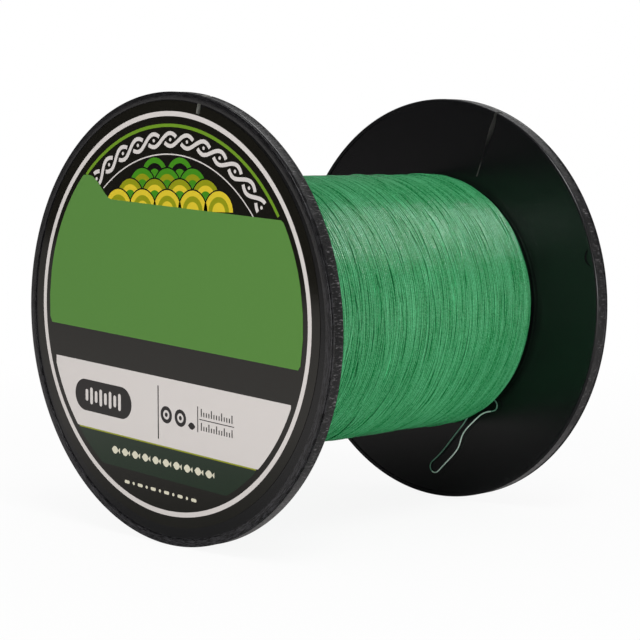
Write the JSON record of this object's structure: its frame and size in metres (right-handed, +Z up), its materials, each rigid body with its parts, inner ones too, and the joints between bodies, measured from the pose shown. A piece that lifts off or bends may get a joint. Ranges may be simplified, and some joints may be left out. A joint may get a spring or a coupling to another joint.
{
  "type": "fishing line spool",
  "caption": "Bulk spool of braided fishing line: two black flanges on a barrel, wound full of green line, with a round label and a loose loop of line.",
  "frame": {"origin": "on the spool's axis, half way between the two flanges", "axes": "+Y along the axis from the labelled front flange to the back flange, +Z up, the spool lying on both rims"},
  "size_m": [0.11, 0.102, 0.11],
  "materials": {
    "flange_plastic": "gloss moulded polystyrene",
    "barrel_plastic": "moulded",
    "tube_plastic": "extruded",
    "front_label_film": "printed and laminated film",
    "back_label_film": "plain laminated film",
    "tape_film": "clear film",
    "braid": "braided polyethylene"
  },
  "bodies": {
    "root": {"front_flange": "flange_plastic", "back_flange": "flange_plastic", "core_barrel": "barrel_plastic", "centre_tube": "tube_plastic", "front_label": "front_label_film", "back_label": "back_label_film", "start_tape": "tape_film", "line_start": "braid", "wound_line_core": "braid", "wound_line_outer": "braid", "loose_line_loop": "braid"}
  },
  "joints": []
}
